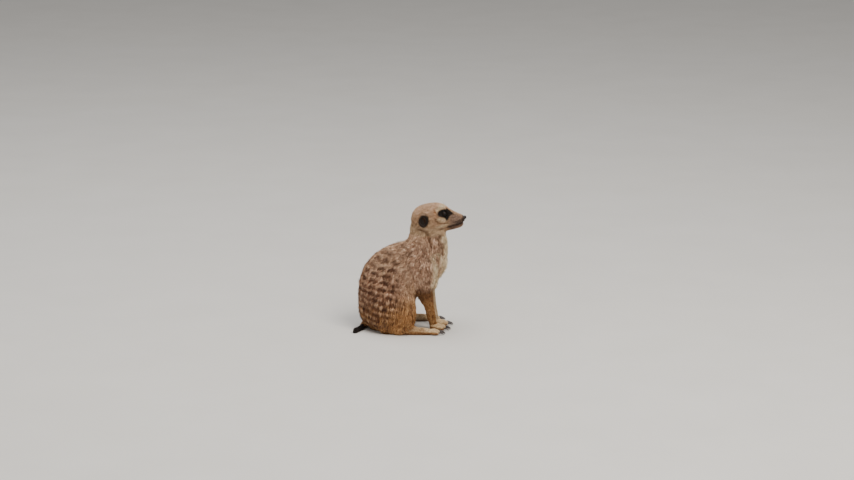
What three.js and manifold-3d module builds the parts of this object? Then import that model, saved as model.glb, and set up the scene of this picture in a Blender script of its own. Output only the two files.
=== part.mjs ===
// A life-size meerkat sitting on its haunches, upright on straight forelegs, looking ahead.
// Millimetres. +X is the way it faces, +Y its left, +Z up. The origin is on the floor, under the rump.
import * as THREE from "three";
import { mergeVertices } from "three/addons/utils/BufferGeometryUtils.js";
import Module from "manifold-3d";

// Driving dimensions, out to the tips of the coat.
const CROWN_HEIGHT = 185;
const HEAD_LENGTH = 80;
const HEAD_HALF_WIDTH = 25;
const NAPE_X = 47; // the back of the head
const TRUNK_HALF_WIDTH = 42;
const HIP_Y = 33; // middle of the body to the middle of a thigh
const SHOULDER_Y = 25;
const HIND_FOOT_LENGTH = 70;
const HIND_FOOT_Y = 38;
const FOREPAW_Y = 11;
const LEFT_LEG_LEAD = 3; // the left foreleg stands a little ahead of the right one
const EYE_RADIUS = 5.2;
const EAR = { height: 9, depth: 6.5, bulge: 5, wall: 1.3 }; // half-sizes, and the wall of its cup
const TAIL_ROOT_RADIUS = 10;
const TAIL_TIP_RADIUS = 3.2;
const GAP = 0.3; // clearance between neighbouring solids

// Where each cut crosses the middle of the body, and how it tilts down towards the front, in degrees.
const SKULL_CUT = { x: 70, z: 143, tilt: 3 };
const SHOULDER_CUT = { x: 70, z: 121, tilt: 17 };

const HEAD_AXIS_Z = CROWN_HEIGHT - 23;
const HEAD_MIDDLE_X = NAPE_X + HEAD_LENGTH / 2;
const MUZZLE_X = NAPE_X + HEAD_LENGTH;
const EYE = { x: 95, y: 11, z: HEAD_AXIS_Z + 9.6 };
const EAR_SEAT = { x: 65, y: 23.5, z: HEAD_AXIS_Z + 0.5, turn: 0.35 }; // turned forwards, in radians
const ACROSS = new THREE.Vector3(0, 1, 0);
const UP = new THREE.Vector3(0, 0, 1);
const SIDES = { left: 1, right: -1 };

const wasm = await Module();
wasm.setup();

// The values of a table [share, a, b, ...] at a share of the length, on a smooth line through its rows.
function sizesAt(table, share) {
  const last = table.length - 1;
  let i = 0;
  while (i < last - 1 && share > table[i + 1][0]) i++;
  const [from, to] = [table[i], table[i + 1]];
  const span = to[0] - from[0];
  const u = THREE.MathUtils.clamp((share - from[0]) / span, 0, 1);
  const slope = (row, k) => {
    const [a, b] = [table[Math.max(row - 1, 0)], table[Math.min(row + 1, last)]];
    return ((b[k] - a[k]) / (b[0] - a[0])) * span;
  };
  return from.slice(1).map((value, n) => {
    const k = n + 1;
    const [m0, m1, rise] = [slope(i, k), slope(i + 1, k), to[k] - value];
    return value + u * (m0 + u * (3 * rise - 2 * m0 - m1 + u * (m0 + m1 - 2 * rise)));
  });
}

// How far a section has opened at this share of the length, from 0 at a closed end to 1.
function opening(share, [start, end], fullness) {
  const away = Math.max(1 - share / start, 1 - (1 - share) / end, 0);
  return Math.pow(Math.max(1 - Math.pow(away, fullness), 0), 1 / fullness);
}

const curveOf = (line) => new THREE.CatmullRomCurve3(line.map((point) => new THREE.Vector3(...point)));

// How a form is made unless it says otherwise: caps are the shares of the length over which its ends close,
// blunt squares those ends, level keeps its sections upright, and even spreads its rings evenly.
const PLAIN = { caps: [0.5, 0.5], blunt: 2, level: false, even: 0.3 };

// A closed body round a line: a sphere whose rings are spread along it. Each row of sizes is
// [share of the length, half-width, height above the line, depth below the line]. A form that is grown
// stands out by that much all over.
function form(shape, grow = 0) {
  const { line, sizes, rings, sides, caps, blunt, level, even } = { ...PLAIN, ...shape };
  const curve = curveOf(line);
  const ball = new THREE.SphereGeometry(1, sides, rings);
  ball.deleteAttribute("normal");
  ball.deleteAttribute("uv");
  const geometry = mergeVertices(ball);
  const place = geometry.attributes.position;
  for (let i = 0; i < place.count; i++) {
    const v = new THREE.Vector3().fromBufferAttribute(place, i);
    const turn = Math.acos(THREE.MathUtils.clamp(v.y, -1, 1)) / Math.PI;
    const share = THREE.MathUtils.lerp((1 - Math.cos(turn * Math.PI)) / 2, turn, even);
    const radius = Math.hypot(v.x, v.z);
    const atPole = radius < 1e-6;
    const [cos, sin] = atPole ? [0, 0] : [v.x / radius, v.z / radius];
    const tangent = curve.getTangentAt(share);
    const across = level
      ? new THREE.Vector3().crossVectors(UP, tangent).normalize()
      : ACROSS.clone().addScaledVector(tangent, -ACROSS.dot(tangent)).normalize();
    const above = new THREE.Vector3().crossVectors(tangent, across);
    const [width, height, depth] = sizesAt(sizes, share);
    const open = opening(share, caps, blunt);
    const pastEnd = Math.sign(share - 0.5) * Math.sqrt(Math.max(1 - open * open, 0)) * grow;
    curve
      .getPointAt(share)
      .addScaledVector(across, cos * (width * open + grow))
      .addScaledVector(above, sin * ((sin > 0 ? height : depth) * open + grow))
      .addScaledVector(tangent, pastEnd)
      .toArray(place.array, i * 3);
  }
  return solid(geometry);
}

function solid(geometry) {
  geometry.deleteAttribute("normal");
  geometry.deleteAttribute("uv");
  const merged = mergeVertices(geometry, 1e-4);
  return new wasm.Manifold(
    new wasm.Mesh({
      numProp: 3,
      vertProperties: new Float32Array(merged.attributes.position.array),
      triVerts: new Uint32Array(merged.index.array),
    }),
  );
}

const join = (solids) => solids.reduce((whole, one) => whole.add(one));
const cutBy = (whole, cutters) => cutters.reduce((rest, one) => rest.subtract(one), whole);

// The largest single body of a cut solid, without the slivers that a cut can leave.
const largest = (cut) => cut.decompose().reduce((a, b) => (b.volume() > a.volume() ? b : a));

const underFloor = solid(new THREE.BoxGeometry(600, 600, 100).translate(0, 0, -50));

// Body forms. Each shape is kept as its sizes, so that the same form can be grown by the gap to cut
// its neighbour.

const headShape = {
  line: [
    [NAPE_X, 0, HEAD_AXIS_Z],
    [HEAD_MIDDLE_X, 0, HEAD_AXIS_Z],
    [MUZZLE_X, 0, HEAD_AXIS_Z],
  ],
  sizes: [
    [0, 0.64 * HEAD_HALF_WIDTH, 12, 16],
    [0.17, 0.9 * HEAD_HALF_WIDTH, 18.6, 21],
    [0.29, HEAD_HALF_WIDTH, 21.7, 22],
    [0.42, HEAD_HALF_WIDTH, 23, 21.5],
    [0.51, 0.9 * HEAD_HALF_WIDTH, 22.8, 19.5],
    [0.6, 0.73 * HEAD_HALF_WIDTH, 20.3, 16],
    [0.68, 0.54 * HEAD_HALF_WIDTH, 15.8, 12],
    [0.77, 0.41 * HEAD_HALF_WIDTH, 11.2, 9],
    [0.87, 0.32 * HEAD_HALF_WIDTH, 7.4, 6.2],
    [1, 0.22 * HEAD_HALF_WIDTH, 3.4, 3.6],
  ],
  rings: 18,
  sides: 18,
  caps: [0.13, 0.05],
  even: 0.6,
};

const jawShape = {
  line: [
    [HEAD_MIDDLE_X - 1, 0, HEAD_AXIS_Z - 12],
    [HEAD_MIDDLE_X + 18, 0, HEAD_AXIS_Z - 10],
    [MUZZLE_X - 3.5, 0, HEAD_AXIS_Z - 7.6],
  ],
  sizes: [
    [0, 15.5, 10, 7],
    [0.45, 10.6, 8, 6.6],
    [0.8, 7, 5, 5],
    [1, 5, 3, 3.6],
  ],
  rings: 9,
  sides: 12,
  caps: [0.3, 0.16],
};

const noseShape = {
  line: [
    [MUZZLE_X - 5.6, 0, HEAD_AXIS_Z + 1.2],
    [MUZZLE_X - 2.6, 0, HEAD_AXIS_Z + 1.6],
    [MUZZLE_X + 0.4, 0, HEAD_AXIS_Z + 1],
  ],
  sizes: [
    [0, 4.1, 3, 3],
    [0.6, 4.2, 3, 3.2],
    [1, 3.6, 2.6, 3],
  ],
  rings: 7,
  sides: 10,
  blunt: 2.4,
};

const neckShape = {
  line: [
    [62, 0, 104],
    [69, 0, 132],
    [74, 0, 160],
  ],
  sizes: [
    [0, 22, 20, 37],
    [0.45, 23, 25.5, 33.5],
    [0.75, 21, 26, 27],
    [1, 20, 26, 22],
  ],
  rings: 11,
  sides: 18,
  caps: [0.35, 0.2],
};

const trunkShape = {
  line: [
    [6, 0, -4],
    [8, 0, 36],
    [18, 0, 66],
    [38, 0, 90],
    [57, 0, 108],
    [74, 0, 132],
  ],
  sizes: [
    [0, 0.82 * TRUNK_HALF_WIDTH, 33, 36],
    [0.26, 0.96 * TRUNK_HALF_WIDTH, 38, 44],
    [0.46, TRUNK_HALF_WIDTH, 46.5, 42],
    [0.66, 0.9 * TRUNK_HALF_WIDTH, 40.5, 46],
    [0.83, 0.78 * TRUNK_HALF_WIDTH, 28.5, 46.5],
    [1, 0.58 * TRUNK_HALF_WIDTH, 25, 44],
  ],
  rings: 17,
  sides: 18,
  caps: [0.2, 0.14],
  even: 0.5,
};

// How far the left foreleg stands ahead of the right one.
const legLead = (side) => (side === SIDES.left ? LEFT_LEG_LEAD : 0);

const thighShape = (side) => ({
  line: [
    [-13, side * (HIP_Y - 4), 31],
    [20, side * HIP_Y, 34],
    [55, side * (HIP_Y + 1), 36],
  ],
  sizes: [
    [0, 14, 30, 32],
    [0.5, 17, 34, 36],
    [1, 14, 31, 34],
  ],
  rings: 11,
  sides: 14,
  blunt: 2.9,
});

const upperArmShape = (side) => ({
  line: [
    [61, side * (SHOULDER_Y - 5), 114],
    [66, side * SHOULDER_Y, 94],
    [66 + legLead(side), side * SHOULDER_Y, 62],
  ],
  sizes: [
    [0, 11, 15, 15],
    [0.4, 12, 18, 17],
    [1, 9, 13, 13],
  ],
  rings: 10,
  sides: 12,
  caps: [0.4, 0.25],
});

const forearmShape = (side) => ({
  line: [
    [64 + legLead(side), side * (SHOULDER_Y - 1), 70],
    [71 + legLead(side), side * (SHOULDER_Y - 4), 46],
    [75 + legLead(side), side * (FOREPAW_Y + 5), 28],
    [79 + legLead(side), side * FOREPAW_Y, 8],
  ],
  sizes: [
    [0, 8.5, 13.5, 13],
    [0.38, 6.8, 9.2, 8.8],
    [0.66, 6, 7, 7],
    [1, 6.5, 6.6, 6.6],
  ],
  rings: 10,
  sides: 12,
  caps: [0.14, 0.12],
});

// A place on a paw: so far ahead of its wrist or heel, so far out, at a height.
const pawPlace = ({ wrist, side, turnOut }) => (ahead, out, z) => {
  const a = side * THREE.MathUtils.degToRad(turnOut);
  return [
    wrist[0] + ahead * Math.cos(a) - side * out * Math.sin(a),
    wrist[1] + ahead * Math.sin(a) + side * out * Math.cos(a),
    z,
  ];
};

const FOREPAW = {
  palm: 10,
  palmSizes: [
    [0, 6.8, 5, 7.2],
    [0.5, 7.2, 5, 7.2],
    [1, 7.2, 3.6, 7.2],
  ],
  toe: 10,
  toeRadius: 2.8,
  spread: 3.7,
  claw: 9,
  clawRadius: 1.3,
};
const HIND_FOOT = {
  ...FOREPAW,
  palm: HIND_FOOT_LENGTH - 13,
  palmSizes: [
    [0, 7, 6, 7.2],
    [0.4, 6.7, 5.6, 7.2],
    [0.8, 7.4, 5, 7.2],
    [1, 7.4, 3.6, 7.2],
  ],
  toe: 12,
  clawRadius: 1.2,
};
const TOES = [-1.5, -0.5, 0.5, 1.5]; // four toes, counted out from the middle of the paw
const FAN = 0.2; // how much further apart the toes end than they begin

const forepaws = {
  left: { ...FOREPAW, side: SIDES.left, wrist: [79 + LEFT_LEG_LEAD, FOREPAW_Y], turnOut: 8 },
  right: { ...FOREPAW, side: SIDES.right, wrist: [78, -FOREPAW_Y], turnOut: 12 },
};
const hindFeet = {
  left: { ...HIND_FOOT, side: SIDES.left, wrist: [22, HIND_FOOT_Y], turnOut: 3 },
  right: { ...HIND_FOOT, side: SIDES.right, wrist: [20, -HIND_FOOT_Y], turnOut: 1 },
};

// The toes are not all as long: the outer and inner ones end further back.
const toeEnd = (paw, toe) => paw.palm + paw.toe - 1.6 * (Math.abs(toe) - 0.5);

function toeShape(paw, toe) {
  const at = pawPlace(paw);
  const end = toeEnd(paw, toe);
  return {
    line: [
      at(paw.palm - 5, toe * paw.spread, 4.2),
      at(end - paw.toe * 0.5, toe * paw.spread * (1 + FAN * 0.6), 4.4),
      at(end, toe * paw.spread * (1 + FAN), 2.4),
    ],
    sizes: [
      [0, paw.toeRadius, 3, 3.2],
      [0.6, paw.toeRadius * 0.9, 2.7, 3.6],
      [1, paw.toeRadius * 0.85, 2.3, 2.6],
    ],
    rings: 4,
    sides: 6,
    caps: [0.3, 0.3],
    level: true,
  };
}

function clawShape(paw, toe) {
  const at = pawPlace(paw);
  const end = toeEnd(paw, toe);
  const out = toe * paw.spread * (1 + FAN);
  return {
    line: [
      at(end - 2.4, out, 4.1),
      at(end + paw.claw * 0.35, out * 1.04, 3.9),
      at(end + paw.claw * 0.75, out * 1.07, 2.1),
      at(end + paw.claw - 1, out * 1.08, 0.6),
    ],
    sizes: [
      [0, paw.clawRadius, 1.3, 1.3],
      [0.5, paw.clawRadius * 0.75, 1, 1],
      [1, paw.clawRadius * 0.3, 0.35, 0.35],
    ],
    rings: 4,
    sides: 5,
    caps: [0.15, 0.1],
    level: true,
    even: 0.8,
  };
}

function palmShape(paw) {
  const at = pawPlace(paw);
  return {
    line: [at(-4, 0, 7.5), at(paw.palm * 0.45, 0, 5.6), at(paw.palm + 3, 0, 4.4)],
    sizes: paw.palmSizes,
    rings: 7,
    sides: 8,
    caps: [0.25, 0.2],
    level: true,
  };
}

const makePaw = (paw, neighbours) => {
  const toes = TOES.map((toe) => form(toeShape(paw, toe)));
  return cutBy(join([form(palmShape(paw)), ...toes]), [underFloor, ...neighbours]);
};

// The tail leaves the rump on the left, lies on the floor in one loose curl and ends behind the rump.
const tailRadius = (share) => THREE.MathUtils.lerp(TAIL_ROOT_RADIUS, TAIL_TIP_RADIUS, Math.pow(share, 0.6));
const TAIL_FLAT = 0.5; // how far the floor cuts into the round of the tail
const TAIL_PLAN = [
  [-8, 0],
  [-4, 16],
  [0, 38],
  [8, 57],
  [11, 73],
  [1, 84],
  [-11, 78],
  [-17, 60],
  [-19, 39],
  [-20, 16],
  [-25, -10],
  [-36.5, -34],
];
const tailShape = {
  line: TAIL_PLAN.map(([x, y], i) => [x, y, tailRadius(i / (TAIL_PLAN.length - 1)) - TAIL_FLAT]),
  sizes: [0, 0.25, 0.5, 0.75, 1].map((share) => [share, ...Array(3).fill(tailRadius(share))]),
  rings: 30,
  sides: 8,
  caps: [0.04, 0.05],
  level: true,
  even: 0.9,
};
// The tail's lengths by name, and the share of the whole at which each one ends.
const TAIL_CUTS = { tail_root: 0.3, tail_bend_out: 0.42, tail_bend_back: 0.56, tail_end: 0.76, tail_tip: 1 };

const eyeball = (side, grow = 0) =>
  solid(new THREE.SphereGeometry(EYE_RADIUS + grow, 10, 8).translate(EYE.x, side * EYE.y, EYE.z));

// A round, thin-walled cup set low on the side of the head, open outwards and forwards.
function ear(side) {
  const { height, depth, bulge, wall } = EAR;
  const shell = new THREE.SphereGeometry(1, 11, 7).scale(depth, bulge, height);
  const hollow = new THREE.SphereGeometry(1, 11, 7)
    .scale(depth - wall, bulge, height - wall)
    .translate(wall, side * 0.6 * bulge, 0);
  const { x, y, z, turn } = EAR_SEAT;
  const seat = (geometry) => geometry.rotateZ(-side * turn).translate(x, side * y, z);
  return solid(seat(shell)).subtract(solid(seat(hollow)));
}

// A thin square cut across the tail.
function tailCut(curve, share) {
  const width = 2 * tailRadius(share) + 4;
  const facing = new THREE.Quaternion().setFromUnitVectors(UP, curve.getTangentAt(share));
  const slab = new THREE.BoxGeometry(width, width, GAP).applyQuaternion(facing);
  return solid(slab.translate(...curve.getPointAt(share).toArray()));
}

// The tail's lengths, each found by the place on the curve that its middle lies nearest to.
function tailLengths() {
  const curve = curveOf(tailShape.line);
  const ends = Object.values(TAIL_CUTS);
  const cuts = ends.slice(0, -1).map((share) => tailCut(curve, share));
  const lengths = cutBy(form(tailShape).subtract(underFloor), cuts).decompose();
  const middle = (one) => {
    const { min, max } = one.boundingBox();
    return new THREE.Vector3(...min).add(new THREE.Vector3(...max)).multiplyScalar(0.5);
  };
  return Object.keys(TAIL_CUTS).map((name, i) => {
    const aim = curve.getPointAt(((ends[i - 1] ?? 0) + ends[i]) / 2);
    return [name, lengths.reduce((a, b) => (middle(b).distanceTo(aim) < middle(a).distanceTo(aim) ? b : a))];
  });
}

// The head, neck and trunk are one form, with sockets for the eyes, the nose pad and the limbs, parted by
// two thin cuts: under the skull, from the nape to the throat, and across the shoulders.
function headNeckAndTrunk() {
  const sockets = Object.values(SIDES).flatMap((side) => [
    eyeball(side, GAP),
    form(thighShape(side), GAP),
    form(upperArmShape(side), GAP),
  ]);
  const slice = ({ x, z, tilt }) => {
    const slab = new THREE.BoxGeometry(140, 140, GAP).rotateY(THREE.MathUtils.degToRad(tilt));
    return solid(slab.translate(x, 0, z));
  };
  const top = (one) => one.boundingBox().max[2];
  return cutBy(join([headShape, neckShape, trunkShape].map((shape) => form(shape))), [
    underFloor,
    form(noseShape, GAP),
    form(tailShape, GAP),
    ...sockets,
    slice(SKULL_CUT),
    slice(SHOULDER_CUT),
  ])
    .decompose()
    .sort((a, b) => b.volume() - a.volume())
    .slice(0, 3)
    .sort((a, b) => top(b) - top(a));
}

const LOOKS = {
  coat: { color: 0xa98a6c, roughness: 0.85 },
  leg: { color: 0xa2764a, roughness: 0.85 },
  tail_end: { color: 0x2a211d, roughness: 0.85 },
  ear: { color: 0x231d1b, roughness: 0.8 },
  eye: { color: 0x1a100b, roughness: 0.1 },
  nose: { color: 0x2b2020, roughness: 0.45 },
  claw: { color: 0x2c2422, roughness: 0.4 },
};

const meerkat = new THREE.Group();

function add(name, look, made) {
  const { numProp, numVert, vertProperties, triVerts } = largest(made).getMesh();
  const points = new Float32Array(numVert * 3);
  for (let i = 0; i < numVert; i++) points.set(vertProperties.subarray(i * numProp, i * numProp + 3), i * 3);
  const geometry = new THREE.BufferGeometry();
  geometry.setAttribute("position", new THREE.BufferAttribute(points, 3));
  geometry.setIndex(new THREE.BufferAttribute(new Uint32Array(triVerts), 1));
  geometry.computeVertexNormals();
  const mesh = new THREE.Mesh(geometry, new THREE.MeshStandardMaterial({ ...LOOKS[look], metalness: 0 }));
  mesh.name = name;
  meerkat.add(mesh);
}

const [head, neck, trunk] = headNeckAndTrunk();
const headGrown = form(headShape, GAP);
const trunkGrown = form(trunkShape, GAP);
add("head", "coat", head);
add("neck", "coat", neck);
add("trunk", "coat", trunk);
add("nose", "nose", form(noseShape));
add("jaw", "coat", cutBy(form(jawShape), [headGrown, form(neckShape, GAP)]));

for (const [name, side] of Object.entries(SIDES)) {
  const thighGrown = form(thighShape(side), GAP);
  const upperArmGrown = form(upperArmShape(side), GAP);
  const forearmGrown = form(forearmShape(side), GAP);

  add(`eye_${name}`, "eye", eyeball(side));
  add(`ear_${name}`, "ear", ear(side).subtract(headGrown));
  add(`thigh_${name}`, "coat", cutBy(form(thighShape(side)), [underFloor, form(tailShape, GAP)]));
  add(`upper_arm_${name}`, "coat", form(upperArmShape(side)));
  add(`forearm_${name}`, "leg", cutBy(form(forearmShape(side)), [upperArmGrown, trunkGrown]));
  add(`hind_foot_${name}`, "leg", makePaw(hindFeet[name], [thighGrown, trunkGrown]));
  add(`forepaw_${name}`, "leg", makePaw(forepaws[name], [forearmGrown]));

  for (const [label, paw] of Object.entries({ hind: hindFeet[name], fore: forepaws[name] })) {
    TOES.forEach((toe, i) => {
      const claw = form(clawShape(paw, toe)).subtract(form(toeShape(paw, toe), GAP));
      add(`${label}_claw_${name}_${i + 1}`, "claw", claw);
    });
  }
}

for (const [name, made] of tailLengths()) add(name, name === "tail_tip" ? "tail_end" : "coat", made);

export default meerkat;
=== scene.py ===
"""A life-size meerkat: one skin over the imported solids, eyes, nose, claws, and a coat of mesh tufts."""

import math

import bmesh
import bpy
import numpy as np
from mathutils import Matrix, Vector
from mathutils.bvhtree import BVHTree
from mathutils.kdtree import KDTree


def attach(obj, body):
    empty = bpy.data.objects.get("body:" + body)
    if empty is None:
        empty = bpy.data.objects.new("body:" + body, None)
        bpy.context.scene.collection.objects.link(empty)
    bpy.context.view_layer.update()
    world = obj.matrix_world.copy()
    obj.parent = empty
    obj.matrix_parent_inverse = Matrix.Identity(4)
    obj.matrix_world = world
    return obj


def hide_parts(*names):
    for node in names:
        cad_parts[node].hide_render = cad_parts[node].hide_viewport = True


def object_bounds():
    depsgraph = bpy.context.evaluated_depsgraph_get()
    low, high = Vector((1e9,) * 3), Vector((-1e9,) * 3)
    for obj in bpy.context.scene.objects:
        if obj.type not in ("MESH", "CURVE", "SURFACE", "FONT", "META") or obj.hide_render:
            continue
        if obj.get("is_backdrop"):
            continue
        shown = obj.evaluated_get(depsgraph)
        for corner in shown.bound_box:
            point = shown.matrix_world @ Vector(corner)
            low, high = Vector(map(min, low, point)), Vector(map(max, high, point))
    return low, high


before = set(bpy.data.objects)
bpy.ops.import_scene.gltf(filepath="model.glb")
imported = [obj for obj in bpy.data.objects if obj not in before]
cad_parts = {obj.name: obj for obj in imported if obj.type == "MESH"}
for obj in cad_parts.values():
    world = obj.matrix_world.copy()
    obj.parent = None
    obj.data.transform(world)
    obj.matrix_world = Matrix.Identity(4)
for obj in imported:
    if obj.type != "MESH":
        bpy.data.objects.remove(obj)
solid_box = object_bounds()

MM = 0.001
SIDES = {"left": 1, "right": -1}
chance = np.random.default_rng(2711)

# Where the camera stands, and how the picture is framed.
ELEVATION = math.radians(15)
DISTANCE = 4.0
PICTURE = (854, 480)
PIXEL = 1.45 * MM  # the width that a pixel spans at the animal
ORIGIN_PIXEL = (378, 327.5)

# The head's own places, in millimetres.
EYE_AT = (94.6, 9.9, 170.6)
EYE_RADIUS = 4.4
EYE_GAZE = (0.42, 0.88, 0.12)
EAR_AT = (64.6, 21.4, 163.0)
NOSE_AT = (123.9, 0.0, 163.3)


# ---- camera, light and floor

SENSOR = 36  # how wide the camera's sensor is, in millimetres
BODY_MIDDLE = (0.03, 0, 0.1)  # where the lights point
LIGHTS = {  # where each stands, its size, its power and its colour
    "key": ((0.9, -1.3, 1.9), 1.1, 52, (1.0, 0.96, 0.90)),
    "sky": ((-0.4, 0.3, 2.4), 2.2, 44, (0.97, 0.98, 1.0)),
    "fill": ((-1.8, -1.6, 0.9), 1.6, 8, (1, 1, 1)),
}
BACKGROUND = (0.9, 0.9, 0.9, 1)
BACKGROUND_STRENGTH = 0.38
FLOOR_REACH = 30


def placed(name, data):
    """A new object in the scene, at the origin."""
    thing = bpy.data.objects.new(name, data)
    bpy.context.scene.collection.objects.link(thing)
    return thing


def aim(thing, at):
    thing.rotation_euler = (Vector(at) - thing.location).to_track_quat("-Z", "Y").to_euler()


def make_camera():
    camera = placed("camera", bpy.data.cameras.new("camera"))
    bpy.context.scene.camera = camera
    camera.location = Vector((0, -math.cos(ELEVATION), math.sin(ELEVATION))) * DISTANCE
    camera.data.sensor_width = SENSOR
    camera.data.lens = SENSOR * DISTANCE / (PICTURE[0] * PIXEL)
    right = (PICTURE[0] / 2 - ORIGIN_PIXEL[0]) * PIXEL
    up = (ORIGIN_PIXEL[1] - PICTURE[1] / 2) * PIXEL
    aim(camera, (right, up * math.sin(ELEVATION), up * math.cos(ELEVATION)))


def make_studio():
    for name, (at, size, power, colour) in LIGHTS.items():
        light = placed(name, bpy.data.lights.new(name, "AREA"))
        light.location = at
        light.data.size = size
        light.data.energy = power
        light.data.color = colour
        aim(light, BODY_MIDDLE)
    world = bpy.context.scene.world or bpy.data.worlds.new("studio")
    bpy.context.scene.world = world
    world.use_nodes = True
    background = world.node_tree.nodes["Background"]
    background.inputs["Color"].default_value = BACKGROUND
    background.inputs["Strength"].default_value = BACKGROUND_STRENGTH

    shape = bmesh.new()
    bmesh.ops.create_grid(shape, x_segments=1, y_segments=1, size=FLOOR_REACH)
    floor = new_piece("floor", shape)
    dress(floor, floor_finish())
    floor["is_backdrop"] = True


# ---- shader maths

class Socket:
    """A shader value that Python's own operators work on."""

    def __init__(self, finish, output):
        self.finish, self.output = finish, output

    def maths(self, operation, first, second):
        return self.finish.node("ShaderNodeMath", {"operation": operation}, {0: first, 1: second})

    def __add__(self, other):
        return self.maths("ADD", self, other)

    def __rsub__(self, other):
        return self.maths("SUBTRACT", other, self)

    def __mul__(self, other):
        return self.maths("MULTIPLY", self, other)

    __radd__, __rmul__ = __add__, __mul__

    def ramp(self, low, high):
        """0 below low, 1 above high."""
        return self.finish.node("ShaderNodeMapRange", {}, {0: self, 1: low, 2: high})


class Finish:
    """A material, built round one Principled shader."""

    def __init__(self, name, **constants):
        self.material = bpy.data.materials.new(name)
        self.material.use_nodes = True
        self.nodes = self.material.node_tree.nodes
        self.links = self.material.node_tree.links
        self.shader = self.nodes["Principled BSDF"]
        for socket, value in constants.items():
            self.shader.inputs[socket.replace("_", " ")].default_value = value

    def node(self, kind, settings, inputs, output=0):
        node = self.nodes.new(kind)
        for name, value in settings.items():
            setattr(node, name, value)
        for socket, value in inputs.items():
            self.feed(node.inputs[socket], value)
        return Socket(self, node.outputs[output])

    def feed(self, socket, value):
        if isinstance(value, Socket):
            self.links.new(value.output, socket)
        else:
            socket.default_value = value

    def place(self):
        return self.node("ShaderNodeTexCoord", {}, {}, "Object")

    def stretched(self, scale):
        return self.node("ShaderNodeMapping", {}, {"Vector": self.place(), "Scale": scale})

    def noise(self, scale, detail=2.0, rough=0.5, at=None):
        inputs = {"Vector": at or self.place(), "Scale": scale, "Detail": detail, "Roughness": rough}
        return self.node("ShaderNodeTexNoise", {}, inputs, "Fac")

    def attribute(self, name, output="Color"):
        return self.node("ShaderNodeAttribute", {"attribute_name": name}, {}, output)

    def mixed(self, share, low, high):
        inputs = {0: share, 6: low, 7: high}
        return self.node("ShaderNodeMix", {"data_type": "RGBA"}, inputs, 2)

    def scaled(self, colour, share):
        inputs = {0: 1.0, 6: colour, 7: share}
        return self.node("ShaderNodeMix", {"data_type": "RGBA", "blend_type": "MULTIPLY"}, inputs, 2)

    def set(self, socket, value):
        self.feed(self.shader.inputs[socket], value)

    def colour_between(self, share, low, high):
        self.set("Base Color", self.mixed(share, solid_colour(*low), solid_colour(*high)))

    def bump(self, height, depth, strength=1.0):
        inputs = {"Strength": strength, "Distance": depth, "Height": height}
        self.set("Normal", self.node("ShaderNodeBump", {}, inputs))


def rgb(red, green, blue):
    """A colour as the eye reads it, from 0 to 255, as light."""
    share = np.array((red, green, blue)) / 255
    return np.where(share <= 0.04045, share / 12.92, ((share + 0.055) / 1.055) ** 2.4)


def solid_colour(red, green, blue):
    return (*rgb(red, green, blue), 1.0)


def floor_finish():
    finish = Finish("studio_floor", Roughness=0.75)
    grain = finish.noise(9.0, 4.0)
    finish.colour_between(grain, (212, 208, 201), (221, 217, 211))
    return finish.material


def coat_finish():
    """Fur: each tuft carries its own colours from root to tip, and fine strands along it."""
    finish = Finish("fur_tufts", Roughness=0.6, Specular_IOR_Level=0.3)
    strand_inputs = {"W": finish.attribute("strand", "Fac"), "Scale": 7.0, "Detail": 1.0}
    strands = finish.node("ShaderNodeTexNoise", {"noise_dimensions": "1D"}, strand_inputs, "Fac")
    finish.set("Base Color", finish.scaled(finish.attribute("fur"), 0.62 + 0.8 * strands))
    finish.bump(strands, 0.06 * MM, 0.7)
    return finish.material


def skin_finish():
    """The skin and the down on it, in the coat's own markings, with a fine nap."""
    finish = Finish("skin_and_down", Roughness=0.7, Specular_IOR_Level=0.25)
    nap = finish.noise(1400.0, 3.0)
    pores = finish.noise(420.0, 2.0)
    finish.set("Base Color", finish.scaled(finish.attribute("fur"), 0.65 + 0.7 * nap))
    finish.bump(nap * 0.6 + pores * 0.4, 0.35 * MM, 0.8)
    return finish.material


def eye_finish(side):
    """A near-black brown iris round a black pupil, under a clear wet surface."""
    finish = Finish(f"eye_{side}", Roughness=0.07, Specular_IOR_Level=0.2)
    rings = finish.attribute("iris", "Fac")
    streaks = finish.noise(2500.0, 3.0)
    iris = finish.mixed(streaks, solid_colour(42, 25, 14), solid_colour(19, 12, 8))
    pupil = rings.ramp(0.40, 0.48)
    white = rings.ramp(0.86, 0.96)
    inner = finish.mixed(pupil, solid_colour(3, 3, 3), iris)
    finish.set("Base Color", finish.mixed(white, inner, solid_colour(16, 11, 9)))
    return finish.material


def nose_finish():
    finish = Finish("nose_leather", Roughness=0.36, Specular_IOR_Level=0.4)
    cells = finish.node("ShaderNodeTexVoronoi", {}, {"Vector": finish.place(), "Scale": 1500.0}, "Distance")
    finish.colour_between(cells, (22, 17, 17), (40, 31, 30))
    finish.bump(1.0 - cells, 0.15 * MM)
    return finish.material


def claw_finish():
    finish = Finish("claw_horn", Roughness=0.34, Specular_IOR_Level=0.5)
    layers = finish.noise(260.0, 3.0, 0.6, finish.stretched((0.25, 1.0, 1.0)))
    finish.colour_between(layers, (26, 19, 19), (64, 50, 46))
    finish.bump(layers, 0.08 * MM)
    return finish.material


def whisker_finish():
    finish = Finish("whisker", Roughness=0.35)
    finish.colour_between(finish.noise(300.0), (24, 19, 17), (52, 42, 36))
    return finish.material


# ---- pieces

SAME_PLACE = 1e-6  # corners this near to each other are one, in metres


def new_piece(name, shape):
    """An object at the origin from a finished bmesh."""
    mesh = bpy.data.meshes.new(name)
    shape.to_mesh(mesh)
    shape.free()
    return placed(name, mesh)


def dress(piece, material):
    piece.data.materials.clear()
    piece.data.materials.append(material)
    piece.data.shade_smooth()


def fit(piece, material, slot, *nodes):
    """Dresses the piece in its finish, hangs it on the body, and hides the solids that it stands for; the
    slot is not used.
    """
    dress(piece, material)
    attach(piece, "root")
    if nodes:
        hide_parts(*nodes)


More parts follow.
